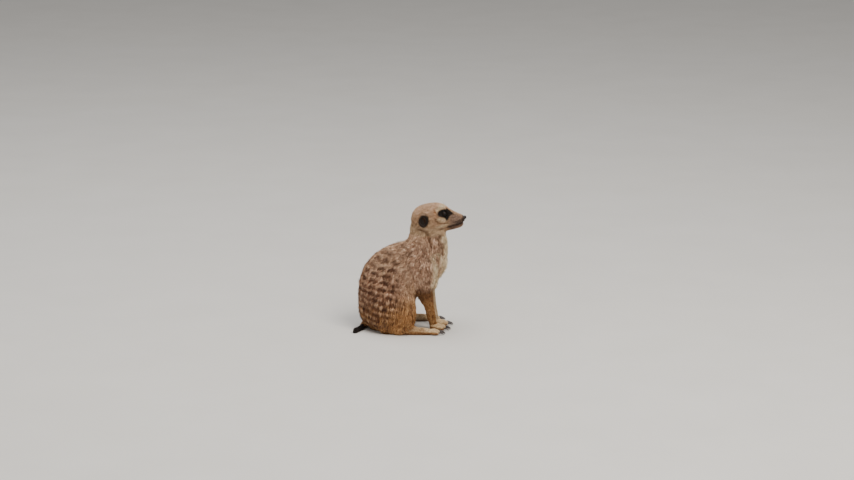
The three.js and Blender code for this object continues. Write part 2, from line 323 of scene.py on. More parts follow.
def rounded(piece, levels):
    rounding = piece.modifiers.new("rounding", "SUBSURF")
    rounding.levels = rounding.render_levels = levels


def tint(mesh, colours):
    """Gives each of a mesh's points its colour, with nothing see-through."""
    colours = np.concatenate((colours, np.ones((len(colours), 1))), 1)
    mesh.color_attributes.new("fur", "FLOAT_COLOR", "POINT").data.foreach_set("color", colours.ravel())


def evaluated(piece):
    """The piece's mesh with its modifiers applied, in place of the piece."""
    mesh = bpy.data.meshes.new_from_object(piece.evaluated_get(bpy.context.evaluated_depsgraph_get()))
    bpy.data.objects.remove(piece)
    return mesh


def joined_solid(name):
    """A node's solid, with the corners that its triangles share made one."""
    solid = bmesh.new()
    solid.from_mesh(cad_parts[name].data)
    bmesh.ops.remove_doubles(solid, verts=solid.verts, dist=SAME_PLACE)
    return solid


def globe(radius):
    shape = bmesh.new()
    bmesh.ops.create_uvsphere(shape, u_segments=48, v_segments=32, radius=radius)
    return shape


def rings_to_skin(shape, rings):
    """Faces from each ring to the next, and over both ends."""
    for low, high in zip(rings, rings[1:]):
        for k in range(len(low)):
            shape.faces.new((low[k - 1], low[k], high[k], high[k - 1]))
    shape.faces.new(rings[0])
    shape.faces.new(rings[-1])


def read(rows, field, width, kind=float):
    """One field of all of a mesh's vertices, edges, corners or triangles, as a table."""
    flat = np.empty(len(rows) * width, kind)
    rows.foreach_get(field, flat)
    return flat.reshape(-1, width)


def places(mesh):
    """A mesh's vertices, in millimetres."""
    return read(mesh.vertices, "co", 3) / MM


def normals_of(mesh):
    return read(mesh.vertices, "normal", 3)


def put(mesh, points):
    mesh.vertices.foreach_set("co", (points * MM).ravel())
    mesh.update()


def unit(vectors):
    return vectors / np.maximum(np.linalg.norm(vectors, axis=-1, keepdims=True), 1e-9)


def lengths(vectors):
    return np.linalg.norm(vectors, axis=1)


def bell(values, width):
    """1 where the value is 0, falling to 0 over this width on either side."""
    return np.exp(-((values / width) ** 2))


def both_sides(points):
    """The points of both sides of the body, laid onto its left one."""
    return np.stack((points[:, 0], np.abs(points[:, 1]), points[:, 2]), 1)


def step(low, high, values):
    """0 below low, 1 above high, and smooth between."""
    t = np.clip((values - low) / (high - low), 0, 1)
    return t * t * (3 - 2 * t)


def from_segment(points, start, end):
    """How far each point is from the straight line between two places, and that line's way."""
    start, end = np.array(start, float), np.array(end, float)
    way = end - start
    share = np.clip((points - start) @ way / (way @ way), 0, 1)
    return lengths(points - start - share[:, None] * way), way


# ---- how the coat lies

# For each part of the body: the coat's length, how high it stands, a tuft's width and the space between
# tufts, in millimetres.
FUR = {
    "head": (4.4, 1.4, 0.42, 0.50),
    "ear": (2.6, 0.6, 0.38, 0.50),
    "jaw": (3.0, 0.8, 0.40, 0.48),
    "neck": (8.5, 3.2, 0.72, 0.74),
    "trunk": (9.4, 4.2, 0.74, 0.72),
    "thigh": (9.5, 3.7, 0.78, 0.74),
    "upper_arm": (8.5, 3.0, 0.74, 0.74),
    "forearm": (4.6, 1.2, 0.50, 0.62),
    "forepaw": (2.2, 0.42, 0.34, 0.52),
    "hind_foot": (2.8, 0.5, 0.38, 0.56),
    "tail_tip": (8.0, 2.2, 0.62, 0.62),
    "tail": (6.5, 1.8, 0.62, 0.70),
}
MUZZLE_FUR = (2.0, 0.45, 0.30, 0.42)
LENGTH, STAND, WIDTH, SPACING = range(4)  # the order of these sizes

# The lines along which the coat lies, from where it starts to where it ends.
LIE = {
    "head": [((128, 0, 165), (62, 0, 176)), ((112, 0, 158), (56, 0, 140)), ((56, 0, 178), (46, 0, 148))],
    "ear": [((74, 0, 165), (54, 0, 160))],
    "jaw": [((124, 0, 152), (85, 0, 146)), ((127, 0, 158), (121, 0, 146))],
    "neck": [((52, 0, 165), (44, 0, 125)), ((96, 0, 145), (100, 0, 105))],
    "trunk": [
        ((44, 0, 128), (8, 0, 112)),
        ((8, 0, 112), (-22, 0, 75)),
        ((-22, 0, 75), (-24, 0, 10)),
        ((70, 0, 115), (30, 0, 60)),
        ((30, 0, 60), (18, 0, 5)),
        ((100, 0, 112), (84, 0, 70)),
        ((84, 0, 70), (50, 0, 30)),
    ],
    "thigh": [((5, 34, 68), (-8, 34, 5)), ((45, 34, 62), (42, 34, 8))],
    "upper_arm": [((66, 25, 112), (66, 25, 60))],
    "forearm": [((66, 24, 70), (80, 12, 10))],
    "forepaw": [((78, 11, 8), (100, 12, 4))],
    "hind_foot": [((20, 38, 8), (90, 38, 4))],
}
TAIL_LINE = [
    (-8, 0), (-4, 16), (0, 38), (8, 57), (11, 73), (1, 84),
    (-11, 78), (-17, 60), (-19, 39), (-20, 16), (-25, -10), (-36.5, -34),
]
LIE["tail"] = LIE["tail_tip"] = [((*a, 6), (*b, 5)) for a, b in zip(TAIL_LINE, TAIL_LINE[1:])]
PARTS = list(FUR)
LIMBS = ("thigh", "upper_arm", "forearm", "forepaw", "hind_foot")


def part_of(node):
    """The part of the body that a node of flesh belongs to, or None for an eye, nose or claw."""
    return next((part for part in PARTS if node.startswith(part)), None)


LINE_CORE = 2  # within this distance of a line of LIE, in millimetres, that line alone decides


def lie_of(points, part):
    """Which way the coat lies at these points of one part, before it is laid onto the skin."""
    total = np.zeros_like(points)
    folded = both_sides(points) if part in LIMBS else points
    for start, end in LIE[part]:
        away, way = from_segment(folded, start, end)
        total += (way / np.linalg.norm(way)) / (away[:, None] + LINE_CORE) ** 3
    total = unit(total)
    if part in LIMBS:
        total[:, 1] *= np.sign(points[:, 1])
    return total


class Net:
    """A mesh's edges, for spreading values over its surface."""

    def __init__(self, mesh):
        self.count = len(mesh.vertices)
        self.a, self.b = read(mesh.edges, "vertices", 2, int).T
        self.degree = np.bincount(np.concatenate((self.a, self.b)), minlength=self.count)

    def average(self, values):
        """The mean of each vertex's neighbours."""
        ends = ((self.a, self.b), (self.b, self.a))
        columns = values.reshape(self.count, -1).T
        sums = [sum(np.bincount(a, column[b], self.count) for a, b in ends) for column in columns]
        return np.stack(sums, 1) / np.maximum(self.degree, 1)[:, None]

    def spread(self, values, rounds, share=0.5):
        shape = values.shape
        values = values.reshape(self.count, -1)
        share = np.broadcast_to(np.asarray(share, float).reshape(-1, 1), (self.count, 1))
        for _ in range(rounds):
            values = values + share * (self.average(values) - values)
        return values.reshape(shape)


# ---- the skin

VOXEL = 1.35  # the skin's mesh, in millimetres
GROWTH = 0.25  # how far each solid is grown, so that neighbours run into one
SMOOTHING = 14  # rounds over the skin, by as much as each part is soft
SOFTNESS = 0.6
FIRM_PARTS = {
    "head": 0.3, "ear": 0.3, "jaw": 0.18, "forepaw": 0.12, "hind_foot": 0.16, "forearm": 0.3, "tail": 0.3,
}

# Flesh that fills the body out between the solids: the middle and half-sizes of an ellipsoid.
FILLS = [
    ((79, 13, 73), (8.5, 9, 12)),  # breast over the foreleg
    ((92, 0, 112), (9.3, 13, 15)),  # throat to breast
    ((118.5, 2.2, 161), (5.4, 4.4, 5.2)),  # upper lip
    ((120.6, 0, 163), (3.6, 4.6, 4.0)),  # round the nose
    ((116.5, 0, 154.2), (6, 4.6, 3.6)),  # chin
    ((88, 11, 178), (9, 5.5, 4.6)),  # brow
]
ELBOW_FILLS = [
    ((59.5, 22, 60), (4.6, 5.2, 7)),
    ((61.2, 21.5, 53), (4.6, 5.0, 7.5)),
    ((64.4, 20.5, 46), (4.2, 4.6, 7)),
]
FORELEG_LEAD = {"left": 3, "right": 0}  # how far each foreleg stands ahead of the other
TAIL_FILLS = [((x, y, z), (4.2, 4.6, 4.2)) for x, y, z in (
    (-26, -12, 4.2), (-29, -18, 4.2), (-32, -24, 4.2), (-34, -29.5, 4.0),
)]


def flesh_solids():
    return [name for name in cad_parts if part_of(name)]


def add_ellipsoid(shape, at, reach):
    verts = bmesh.ops.create_uvsphere(shape, u_segments=24, v_segments=16, radius=MM)["verts"]
    bmesh.ops.scale(shape, verts=verts, vec=reach)
    bmesh.ops.translate(shape, verts=verts, vec=Vector(at) * MM)


def wrapped_flesh():
    """One closed surface round all nodes of flesh, and a tree that tells which one a point lies nearest."""
    shape, owners, corners, faces = bmesh.new(), [], [], []
    for at, reach in FILLS:
        for side in SIDES.values():
            add_ellipsoid(shape, (at[0], at[1] * side, at[2]), reach)
    for at, reach in ELBOW_FILLS:
        for name, side in SIDES.items():
            add_ellipsoid(shape, (at[0] + FORELEG_LEAD[name], at[1] * side, at[2]), reach)
    for at, reach in TAIL_FILLS:
        add_ellipsoid(shape, at, reach)
    for name in flesh_solids():
        solid = joined_solid(name)
        bmesh.ops.recalc_face_normals(solid, faces=solid.faces)
        bmesh.ops.triangulate(solid, faces=solid.faces)
        first = len(corners)
        corners += [v.co / MM for v in solid.verts]
        faces += [[first + v.index for v in face.verts] for face in solid.faces]
        owners += [part_of(name)] * len(solid.faces)
        if part_of(name) != "ear":
            for v in solid.verts:
                v.co += v.normal * GROWTH * MM
            mesh = bpy.data.meshes.new("solid")
            solid.to_mesh(mesh)
            shape.from_mesh(mesh)
            bpy.data.meshes.remove(mesh)
        solid.free()
    wrap = new_piece("wrap", shape)
    remesh = wrap.modifiers.new("wrap", "REMESH")
    remesh.mode = "VOXEL"
    remesh.voxel_size = VOXEL * MM
    return evaluated(wrap), BVHTree.FromPolygons(corners, faces), owners


def parts_at(points, tree, owners):
    return np.array([PARTS.index(owners[tree.find_nearest(p)[2]]) for p in points.tolist()])


def refine(mesh, wanted):
    """Splits the faces whose middles are wanted into four."""
    shape = bmesh.new()
    shape.from_mesh(mesh)
    faces = [f for f in shape.faces if wanted(f.calc_center_median() / MM)]
    edges = list({edge for face in faces for edge in face.edges})
    bmesh.ops.subdivide_edges(shape, edges=edges, cuts=1, use_grid_fill=True)
    bmesh.ops.triangulate(shape, faces=[f for f in shape.faces if len(f.verts) > 4])
    shape.to_mesh(mesh)
    shape.free()


def swell(points, normals, at, reach, height):
    """Raises the skin round a place, on both sides, or sinks it where the height is below 0."""
    away = lengths((both_sides(points) - at) / reach)
    return points + normals * (height * bell(away, 1))[:, None]


def far_from_line(points, line):
    """How far each point is, seen from the side, from a line through these places."""
    flat = points[:, [0, 2]]
    return np.min([from_segment(flat, start, end)[0] for start, end in zip(line, line[1:])], axis=0)


def stripe(points, line, width):
    return bell(far_from_line(points, line), width)


# Lines along the side of the head and neck, as distance forward and height.
MOUTH = [(99, 151.8), (104, 152.4), (110, 153.4), (116, 154.9), (121, 156.6), (125, 157.8)]
BROW = [(84.5, 177.0), (87.5, 179.3), (92, 181.2), (97, 181.8), (102, 179.8)]
CHEEK_FOLD = [(81, 166), (82.5, 163.5), (85, 161.2), (91, 158.2), (99, 156.8)]
NECK_FOLD = [(58, 149.5), (64, 148), (69.6, 145.5), (72, 137), (75, 128)]

GROOVES = ((MOUTH, 0.9, 1.1), (CHEEK_FOLD, 1.4, 0.6), (NECK_FOLD, 3.0, 1.3))  # with width and depth

# The body's swellings and hollows: the place, how far it reaches, and its height, in millimetres.
FORMS = [
    ((105, 5, 171), (5, 3.5, 5), -0.7),  # in front of the eye
    ((84, 20, 164), (8, 6, 7), 1.2),  # cheek
    ((76, 23, 152), (9, 8, 6), 0.8),  # corner of the jaw
    ((118, 5.5, 160.5), (6, 3, 3), 0.7),  # whisker pad
    ((66, 24, 176), (8, 6, 6), -0.9),  # temple
    ((50, 38, 52), (9, 9, 9), 1.4),  # knee
    ((20, 47, 22), (16, 8, 9), 1.0),  # calf, folded under
    ((38, 40, 74), (22, 9, 7), -1.8),  # groin, where the thigh meets the flank
    ((46, 34, 98), (10, 9, 20), -1.2),  # behind the shoulder
    ((65, 23, 163), (4.4, 6, 6.4), -4.2),  # the hollow under the ear
]


def upright(way, out):
    """The way that is nearest to this one, at a right angle to out."""
    return unit(np.array(way) - out * np.dot(way, out))


def eye_frame(side):
    """The eye's place, and its axes: out along the gaze, back along the lids, and up."""
    centre = np.array(EYE_AT) * (1, side, 1)
    gaze = unit(np.array(EYE_GAZE) * (1, side, 1))
    up = upright((0.08, 0, 1.0), gaze)
    return centre, gaze, np.cross(up, gaze) * side, up


# The opening between the lids: half its length, its height over and under the gaze, and its climb back.
OPENING = {"half_length": 4.1, "upper": 2.7, "lower": 2.4, "climb": 0.12}
LID_THICKNESS = 0.45
LID_RIM = 0.35  # how far the lid's edge stands up
LID_REACH = 16  # how far from the eye the skin is drawn
BEHIND_EYE = 0.62  # where the skin lies inside the lids, as a share of the eye's radius


def open_eyes(points):
    """Draws the skin into lids round each eye, and back behind the eye inside them."""
    for side in SIDES.values():
        centre, gaze, back, up = eye_frame(side)
        out = points - centre
        distance = lengths(out)
        ray = unit(out)
        along, above, facing = ray @ back * EYE_RADIUS, ray @ up * EYE_RADIUS, ray @ gaze
        above = above - OPENING["climb"] * along
        half_height = np.where(above > 0, OPENING["upper"], OPENING["lower"])
        edge = np.sqrt((along / OPENING["half_length"]) ** 2 + (above / half_height) ** 2)
        near = (facing > 0.1) & (distance < LID_REACH)
        lid = EYE_RADIUS + LID_THICKNESS + LID_RIM * bell(edge - 1.12, 0.16)
        inside = 1 - step(0.93, 1.03, edge)
        beyond = step(1.2, 2.0, edge)
        drawn = lid * (1 - inside) + EYE_RADIUS * BEHIND_EYE * inside
        drawn = drawn * (1 - beyond) + distance * beyond
        points[near] = (centre + ray * drawn[:, None])[near]
    return points


def coat_sizes(points, part, net):
    """The coat's length, stand, width and spacing at each point, blended from one part to the next."""
    sizes = np.array([FUR[name] for name in PARTS])[part]
    on_muzzle = step(96, 112, points[:, 0]) * step(140, 146, points[:, 2])
    sizes = sizes * (1 - on_muzzle[:, None]) + np.array(MUZZLE_FUR) * on_muzzle[:, None]
    sizes = net.spread(sizes, 16)
    on_ear = 1 - step(1.05, 1.3, from_ear(points))
    return sizes * (1 - on_ear[:, None]) + np.array(FUR["ear"]) * on_ear[:, None]


EAR_SIZE = (6.1, 8.9)  # half of the ear's length and of its height
EAR_DEPTH = 9
EAR_CORNERS = 36
EAR_SECTION = [  # from outside in: share of the ear's size, height, and share of the rim's height
    (1.00, -4.8, 0.0), (1.05, -0.8, 0.1), (1.09, 0.0, 0.6), (1.05, 0.2, 1.0), (0.94, 0.2, 1.05),
    (0.84, 0.0, 0.75), (0.74, -0.9, 0.2), (0.58, -2.0, 0.0), (0.42, -2.3, 0.0), (0.22, -3.0, 0.0),
]


def from_ear(points):
    """How far each point is from the middle of an ear, as a share of the ear's size."""
    return lengths((both_sides(points) - EAR_AT) / (EAR_SIZE[0], EAR_DEPTH, EAR_SIZE[1]))


def ear_shape(side):
    """A low ear: a bowl set in the head, whose rim stands highest in front and runs out behind."""
    at = np.array(EAR_AT) * (1, side, 1)
    out = unit(np.array((-0.02, side, 0.06)))
    up = upright((-0.12, 0, 1.0), out)
    back = np.cross(up, out) * side
    angles = np.linspace(0, 2 * math.pi, EAR_CORNERS, endpoint=False)  # from behind, over the top
    rim = 2.0 - 1.9 * np.cos(angles) + 0.4 * np.sin(angles)
    behind = np.minimum(angles, 2 * math.pi - angles)
    shape, rings = bmesh.new(), []
    for size, height, lift in EAR_SECTION:
        spots = at + np.outer(np.cos(angles) * EAR_SIZE[0] * size, back)
        spots = spots + np.outer(np.sin(angles) * EAR_SIZE[1] * size * (1 - 0.1 * np.cos(angles)), up)
        fold = 1.9 * bell(angles - 2.5, 0.75) * bell(size - 0.52, 0.13)
        lobe = 1.6 * bell(behind, 0.45) * bell(size - 0.62, 0.15)
        spots = spots + np.outer(height + lift * rim + fold + lobe, out)
        rings.append([shape.verts.new(spot * MM) for spot in spots])
    rings_to_skin(shape, rings)
    bmesh.ops.recalc_face_normals(shape, faces=shape.faces)
    return shape


def with_ears(mesh):
    """The skin and the ears as one closed surface."""
    body = placed("body", mesh)
    ears = [new_piece("ear", ear_shape(side)) for side in SIDES.values()]
    for ear in ears:
        rounded(ear, 1)
        union = body.modifiers.new("union", "BOOLEAN")
        union.operation, union.solver, union.object = "UNION", "MANIFOLD", ear
    mesh = evaluated(body)
    for ear in ears:
        bpy.data.objects.remove(ear)
    return mesh


CLAW_END = 2.5  # how much of a claw's length counts as its root, or as its tip
TOE_LENGTH = {"hind": 14, "fore": 10}


def claws_of(foot, side):
    """The root and the tip of each claw of a foot."""
    for number in (1, 2, 3, 4):
        claw = places(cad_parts[f"{foot}_claw_{side}_{number}"].data)
        x = claw[:, 0]
        yield claw[x < x.min() + CLAW_END].mean(0), claw[x > x.max() - CLAW_END].mean(0)


def toes():
    """For each foot: its toes' fronts, the spots between them, the ways ahead and across, and a length."""
    for foot, length in TOE_LENGTH.items():
        for side in SIDES:
            roots, tips = map(np.array, zip(*claws_of(foot, side)))
            ahead = unit(((tips - roots) * (1, 1, 0)).sum(0))
            yield roots, (roots[1:] + roots[:-1]) / 2, ahead, np.array((-ahead[1], ahead[0], 0)), length


def along_toes(points, spots, ahead, across, length, width):
    """1 on the lines that run back from these spots, and 0 away from them."""
    low = (points[:, 2] < 14) & (points[:, 2] > 0.6)
    total = np.zeros(len(points))
    for spot in spots:
        out = points - spot
        along, aside = out @ ahead, out @ across
        share = step(-length, -0.4 * length, along) * (1 - step(4, 6, along)) * low
        total = np.maximum(total, share * bell(aside, width))
    return total


TOE_RIDGE = (0.8, 1.4)  # the height over each toe, and its width
TOE_GROOVE = (-3.0, 1.0)


def shape_toes(points, normals):
    """Draws the foot in between its toes, and swells it over each one."""
    for roots, between, ahead, across, length in toes():
        height = 0
        for spots, (rise, width) in ((roots, TOE_RIDGE), (between, TOE_GROOVE)):
            height = height + rise * along_toes(points, spots, ahead, across, length, width)
        points = points + normals * height[:, None]
    return points


def smoothed(points, part, net):
    """The skin's steps rubbed out, with the flats under the body kept where they are."""
    softness = np.array([FIRM_PARTS.get(name, SOFTNESS) for name in PARTS])[part]
    moved = net.spread(points, SMOOTHING, net.spread(softness, 6))
    flat = 1 - step(0.2, 1.5, points[:, 2]) > 0.5
    return np.where(flat[:, None], points * (1, 1, 0) + moved * (0, 0, 1), moved)


def moved_in(points, normals, stand, net):
    """The skin drawn in by as much as the coat stands up, except on the floor."""
    on_floor = (1 - step(0.3, 2.5, points[:, 2])) * step(0.2, 0.8, -normals[:, 2])
    return points - unit(net.spread(normals, 4)) * (stand * (1 - on_floor))[:, None]


def carved(points, normals):
    """The skin with its swellings, hollows, grooves, toes and lids."""
    for at, reach, height in FORMS:
        points = swell(points, normals, at, reach, height)
    for line, width, sink in GROOVES:
        points = points - normals * (sink * stripe(points, line, width))[:, None]
    points = open_eyes(shape_toes(points, normals))
    points[:, 2] = np.maximum(points[:, 2], 0)
    return points


def laid_coat(points, normals, part, net):
    """Which way the coat lies at each point of the skin, along the skin."""
    lie = np.zeros_like(points)
    for index, name in enumerate(PARTS):
        mine = part == index
        lie[mine] = lie_of(points[mine], name)
    for _ in range(12):
        lie = net.spread(lie, 2)
        lie = unit(lie - normals * (lie * normals).sum(1)[:, None])
    return lie


def make_skin():
    """The skin's mesh, and at each of its points the part, the coat's sizes and the way that it lies."""
    mesh, tree, owners = wrapped_flesh()
    points = places(mesh)
    put(mesh, smoothed(points, parts_at(points, tree, owners), Net(mesh)))
    refine(mesh, lambda at: at.x > 84 and at.z > 143)  # the face
    refine(mesh, lambda at: (Vector((at.x, abs(at.y), at.z)) - Vector(EYE_AT)).length < 8.5)
    refine(mesh, lambda at: at.x > 76 and at.z < 12)  # the toes

    net = Net(mesh)
    points = net.spread(places(mesh), 2)
    put(mesh, points)
    stand = coat_sizes(points, parts_at(points, tree, owners), net)[:, STAND]
    points = moved_in(points, normals_of(mesh), stand, net)
    put(mesh, points)
    put(mesh, carved(points, unit(net.spread(normals_of(mesh), 3))))

    mesh = with_ears(mesh)
    net = Net(mesh)
    points = places(mesh)
    part = parts_at(points, tree, owners)
    return mesh, part, coat_sizes(points, part, net), laid_coat(points, normals_of(mesh), part, net)


# ---- markings

# Furs, each as its dark, middle and light colour.
TAUPE = ((98, 68, 51), (169, 134, 111), (224, 195, 171))
BAND = ((38, 20, 12), (72, 41, 27), (108, 69, 49))
RUST = ((98, 52, 33), (166, 110, 80), (208, 158, 124))
OCHRE = ((94, 62, 38), (156, 112, 74), (208, 166, 120))
SIENNA = ((88, 50, 28), (146, 94, 58), (196, 146, 100))
UMBER = ((54, 34, 22), (92, 60, 40), (130, 92, 66))
CREAM = ((166, 142, 112), (221, 201, 168), (240, 227, 202))
TAN = ((146, 112, 86), (200, 166, 138), (228, 200, 174))
FACE = ((116, 88, 66), (172, 138, 110), (210, 180, 150))
MUZZLE_BROWN = ((84, 65, 54), (137, 113, 99), (178, 154, 138))
LIP = ((24, 16, 12), (44, 31, 24), (70, 52, 42))
CHIN = ((110, 86, 72), (168, 138, 118), (206, 178, 156))
BLACK = ((12, 9, 8), (27, 20, 17), (52, 41, 35))
PAW = ((184, 148, 108), (244, 216, 175), (250, 236, 208))

RICHNESS = 1.15  # how far the furs' colours are drawn away from grey


def tones(fur):
    light = np.array([rgb(*colour) for colour in fur])
    grey = light.mean(1, keepdims=True)
    return np.maximum(grey + (light - grey) * RICHNESS, 0)


LATTICE_VALUES = 4096


def hash_noise(points, scale, seed):
    """Smooth noise between 0 and 1, from random values on a lattice."""
    table = np.random.default_rng(seed).random(LATTICE_VALUES)
    at = points / scale + 100
    cell = np.floor(at).astype(int)
    t = at - cell
    t = t * t * (3 - 2 * t)
    total = np.zeros(len(points))
    for corner in np.ndindex(2, 2, 2):
        key = (cell + corner) @ np.array([73, 1621, 3571]) % LATTICE_VALUES
        weight = np.prod(np.where(corner, t, 1 - t), axis=1)
        total += weight * table[key]
    return total


def oval(points, at, reach, tilt, soft):
    """1 inside an oval seen from the side, 0 outside, on both sides of the body."""
    c, s = math.cos(tilt), math.sin(tilt)
    x, z = points[:, 0] - at[0], points[:, 2] - at[1]
    distance = np.sqrt(((x * c + z * s) / reach[0]) ** 2 + ((z * c - x * s) / reach[1]) ** 2)
    return 1 - step(1 - soft, 1 + soft, distance)


BAND_SPACING = 10.5  # between the rows of dark marks at the shoulders; they draw closer towards the rump
BAND_DROP = 0.24  # how far a row drops for each millimetre forwards
MARK_LENGTH = 15  # along a row, and 3 less on the rump


def scallops(points):
    """Rows of dark marks across the back, arched above and fading below, and the light edge over each."""
    x, side, z = points[:, 0], np.abs(points[:, 1]), points[:, 2]
    wander = hash_noise(points, 24, 1) * 5.0 + hash_noise(points, 6, 2) * 1.8
    row = (140 - z - BAND_DROP * x + 0.0016 * np.maximum(100 - z, 0) ** 2 + wander) / BAND_SPACING
    number = np.floor(row).astype(int)
    down = row - number
    low = step(5, 9, number)
    table = np.random.default_rng(8).random(256)
    mark = (0.8 * (x + 20) + 0.6 * side) / (MARK_LENGTH - 3 * low) + table[number % 64]
    mark = mark + 0.3 * hash_noise(points, 12, 6)
    aside = np.abs(2 * (mark % 1) - 1)
    strength = 0.7 + 0.3 * step(0.05, 0.4, table[(number * 37 + np.floor(mark).astype(int) * 11) % 256])
    top = 0.22 + 0.36 * aside**2 * (1 - 0.5 * low)
    gap = step(0.66, 0.95, aside) * (1 - 0.6 * low)
    dark = step(top, top + 0.1, down) * (1 - step(0.66, 1.0, down)) * (1 - gap)
    light = step(top - 0.36, top - 0.14, down) * (1 - step(top - 0.04, top + 0.05, down))
    return dark * strength, light


LIP_WHISKERS = 6  # the first of WHISKERS, each of which stands in a dark spot
WHISKERS = [  # on one side: where each starts, which way it goes, and its length
    ((117.0, 6.6, 161.5), (-0.25, 1, 0.25), 15), ((114.5, 7.4, 160.0), (-0.4, 1, 0.12), 18),
    ((117.5, 6.6, 159.4), (-0.1, 1, 0.02), 16), ((114.0, 7.8, 157.8), (-0.35, 1, -0.1), 19),
    ((117.0, 6.4, 157.6), (0.0, 1, -0.2), 14), ((111.5, 8.4, 159.2), (-0.6, 1, 0.0), 15),
    ((95.0, 8.5, 181.0), (-0.3, 0.8, 0.7), 6), ((97.5, 7.6, 180.0), (-0.1, 0.8, 0.7), 5),
]


def among(part, *names):
    """Where the part is one of these."""
    return np.isin(part, [PARTS.index(name) for name in names])


class Pelt:
    """The coat's colours at some points, as one fur is laid over another."""

    def __init__(self, points, normals, part):
        self.points, self.normals, self.part = points, normals, part
        self.x, self.side, self.z = points[:, 0], np.abs(points[:, 1]), points[:, 2]
        self.patchy = hash_noise(points, 14, 5)
        self.inwards = -np.sign(points[:, 1]) * normals[:, 1]
        self.colour = np.broadcast_to(tones(TAUPE), (len(points), 3, 3)).copy()

    def on(self, *names):
        return among(self.part, *names)

    def lay(self, fur, share):
        share = np.clip(share, 0, 1)[:, None, None]
        self.colour = self.colour * (1 - share) + tones(fur) * share


def mark_body(pelt):
    """A rusty back with rows of dark marks, pale sides, ochre haunches and a cream front."""
    points, normals, lay, patchy = pelt.points, pelt.normals, pelt.lay, pelt.patchy
    x, side, z = pelt.x, pelt.side, pelt.z
    neck, trunk, arm = pelt.on("neck"), pelt.on("trunk"), pelt.on("upper_arm")
    low = pelt.on("trunk", "thigh")
    lay(RUST, 0.5 * low * (1 - step(12, 44, x)) * (0.4 + 0.6 * patchy) * (1 - 0.3 * step(70, 100, z)))
    lay(TAN, 0.75 * low * step(66, 104, z) * (1 - step(30, 54, x)))
    lay(UMBER, 0.3 * low * (1 - step(-12, 14, x)) * step(78, 50, z))
    lay(SIENNA, 0.8 * low * step(48, 20, z))
    lay(OCHRE, low * step(66, 26, z + 12 * (patchy - 0.5) - 0.5 * (x - 20)) * 0.85)
    lay(OCHRE, 0.5 * trunk * step(30, 52, x) * step(92, 60, z))
    lay(TAN, 0.6 * low * oval(points, (47, 68), (11, 15), 0, 0.5))
    facing = normals[:, 0] - 0.25 * np.abs(normals[:, 1]) + 0.5 * (hash_noise(points, 7, 12) - 0.5)
    front = np.maximum(step(0.1, 0.9, facing), step(89, 95, x + 0.12 * (105 - z)))
    lay(CREAM, (trunk | neck | arm) * front * step(54, 70, z + 8 * patchy) * step(60, 78, x))

    dark, light = scallops(points)
    lay(SIENNA, 0.35 * low * (1 - step(3, 16, side)) * (1 - step(-4, 24, x)))
    edge = x + 0.7 * np.maximum(40 - z, 0) - 0.3 * np.maximum(z - 80, 0)
    reach = low * (1 - step(98, 120, z)) * (1 - step(16, 40, edge)) * step(2, 12, z)
    lay(TAN, 0.6 * light * reach)
    lay(BAND, 0.92 * dark * reach)
    flecks = step(0.55, 0.68, hash_noise(points * (1, 1, 0.6), 4.5, 4))
    lay(BAND, 0.42 * flecks * (trunk | arm) * step(58, 78, z) * (1 - step(64, 88, x)) * (1 - 0.7 * reach))
    lay(BAND, 0.35 * flecks * low * (1 - step(50, 70, z)))
    lay(TAN, 0.8 * neck * step(112, 146, z + 0.6 * (60 - x)))
    lay(UMBER, 0.35 * neck * flecks)


def mark_legs(pelt):
    """Ochre legs, pale inside, with elbows dark partly in colour and partly from painted shade, a painted
    highlight on the hind feet's tops, pale paws, and painted shade between the toes.
    """
    points, lay, up, x, z = pelt.points, pelt.lay, pelt.normals[:, 2], pelt.x, pelt.z
    forearm, hind_foot, paw = pelt.on("forearm"), pelt.on("hind_foot"), pelt.on("forepaw", "hind_foot")
    lay(OCHRE, (forearm | paw) * 1.0)
    # Dark elbow: partly the fur's own darker colour, partly painted shade under the belly.
    elbow = step(68, 61, z) * step(36, 50, z + 6 * (pelt.patchy - 0.5))
    lay(UMBER, pelt.on("upper_arm", "forearm") * elbow * 0.72)
    lay(CREAM, forearm * step(0.1, 0.7, pelt.inwards + 0.5 * pelt.normals[:, 0]) * 0.65)
    # Pale on the inner side of the hind feet, with a painted highlight where their tops face up.
    lay(CREAM, 0.55 * hind_foot * step(0.1, 0.9, 0.45 * up + pelt.inwards))
    lay(PAW, paw * step(-0.2, 0.5, up) * (0.45 + 0.55 * step(62, 78, x)))
    lay(UMBER, paw * step(4, 1.5, z) * 0.6)
    # Painted shade in the grooves between the toes.
    for _, between, ahead, across, length in toes():
        lay(UMBER, 0.85 * paw * along_toes(points, between, ahead, across, length, 0.85))


def mark_tail(pelt):
    """An ochre tail with a black end."""
    tail = pelt.on("tail", "tail_tip")
    pelt.lay(OCHRE, tail * 0.4)
    to_tip = np.hypot(pelt.x - TAIL_LINE[-1][0], pelt.points[:, 1] - TAIL_LINE[-1][1])
    pelt.lay(BLACK, tail * step(64, 48, to_tip + 6 * pelt.patchy) * (pelt.x < -14))


